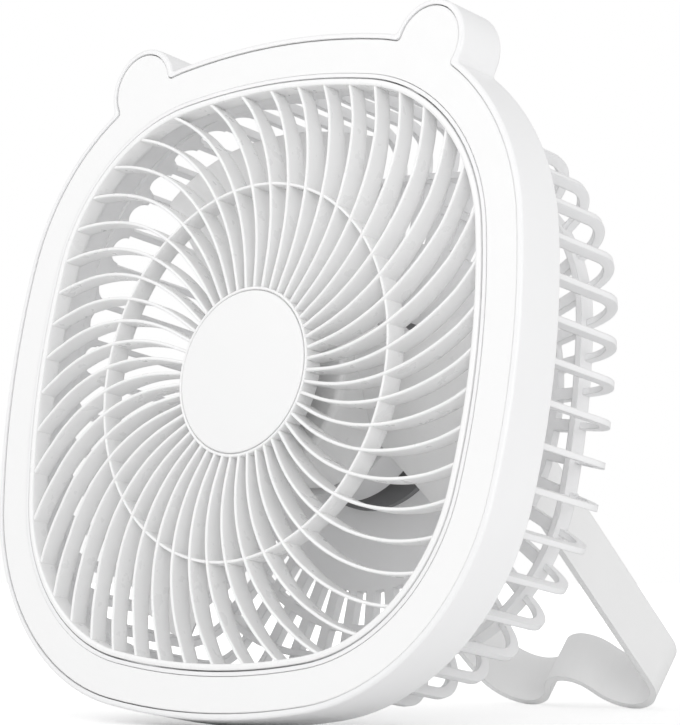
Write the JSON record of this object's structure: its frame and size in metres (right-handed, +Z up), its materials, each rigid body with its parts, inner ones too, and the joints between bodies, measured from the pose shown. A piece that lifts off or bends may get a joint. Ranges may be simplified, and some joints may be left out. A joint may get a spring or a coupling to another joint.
{
  "type": "portable camping fan",
  "caption": "Square-round battery fan head with two ears, light panel round a spiral grille, ribbed rear cage and a fold-out strap stand.",
  "frame": {"origin": "middle of the object's box on the surface it stands on: the frame's rear bottom edge and the stand's two feet touch z = 0", "axes": "+Z up, -Y the way the face looks (leant back 9.5 degrees), +X to the right seen from the front"},
  "size_m": [0.2, 0.1876, 0.2031],
  "materials": {
    "shell_white": "smooth satin white moulding",
    "panel_opal": "opal light panel",
    "grille_white": "smooth white moulding",
    "cap_white": "smooth white disc",
    "blade_white": "smooth white moulding",
    "cage_white": "satin white moulding",
    "housing_white": "satin white moulding",
    "mount_white": "satin pale grey moulding",
    "strap_white": "satin white moulding",
    "button_white": "satin pale moulding",
    "lens_clear": "frosted clear",
    "shaft_steel": "ground steel",
    "can_steel": "zinc plated steel",
    "magnet_dark": "bonded magnet",
    "stator_copper": "wound copper on laminations",
    "board_green": "circuit board",
    "board_white": "white circuit board",
    "lamp_yellow": "lamp",
    "cell_blue": "wrapped cell",
    "cradle_grey": "grey moulding",
    "lead_red": "insulated lead",
    "screw_steel": "zinc plated",
    "washer_nylon": "nylon",
    "socket_steel": "stamped shell",
    "switch_dark": "tact switch"
  },
  "bodies": {
    "head": {"front_bezel": "shell_white", "light_diffuser": "panel_opal", "led_board": "board_white", "led_chips": "lamp_yellow", "front_grille": "grille_white", "grille_hub_cap": "cap_white", "motor_stator": "stator_copper", "front_bearing": "shaft_steel", "rear_bearing": "shaft_steel", "motor_mount": "mount_white", "rear_cage": "cage_white", "rear_housing": "housing_white", "battery_cradle": "cradle_grey", "battery_cell": "cell_blue", "control_board": "board_green", "usb_socket": "socket_steel", "button_switches": "switch_dark", "indicator_lens": "lens_clear", "pivot_screws": "screw_steel", "pivot_washers": "washer_nylon", "cage_screws": "screw_steel", "mount_screws": "screw_steel", "housing_screws": "screw_steel", "motor_lead": "lead_red"},
    "impeller_body": {"impeller": "blade_white", "motor_shaft": "shaft_steel", "rotor_can": "can_steel", "rotor_magnets": "magnet_dark"},
    "stand": {"stand_strap": "strap_white"},
    "speed_key": {"speed_button": "button_white"},
    "light_key": {"light_button": "button_white"}
  },
  "joints": [
    {"name": "impeller_spin", "type": "hinge", "parent": "head", "child": "impeller_body", "pos_m": [0, -0.05262, 0.09668], "axis": [0, 0.9863, -0.165], "continuous": true},
    {"name": "stand_swing", "type": "hinge", "parent": "head", "child": "stand", "pos_m": [0, -0.00397, 0.08448], "axis": [1, 0, 0], "range_deg": [-59, 120]},
    {"name": "speed_press", "type": "slide", "parent": "head", "child": "speed_key", "axis": [0, -0.9863, 0.165], "range_m": [0, 0.0008], "stiffness_N_per_m": 800},
    {"name": "light_press", "type": "slide", "parent": "head", "child": "light_key", "axis": [0, -0.9863, 0.165], "range_m": [0, 0.0008], "stiffness_N_per_m": 800}
  ]
}
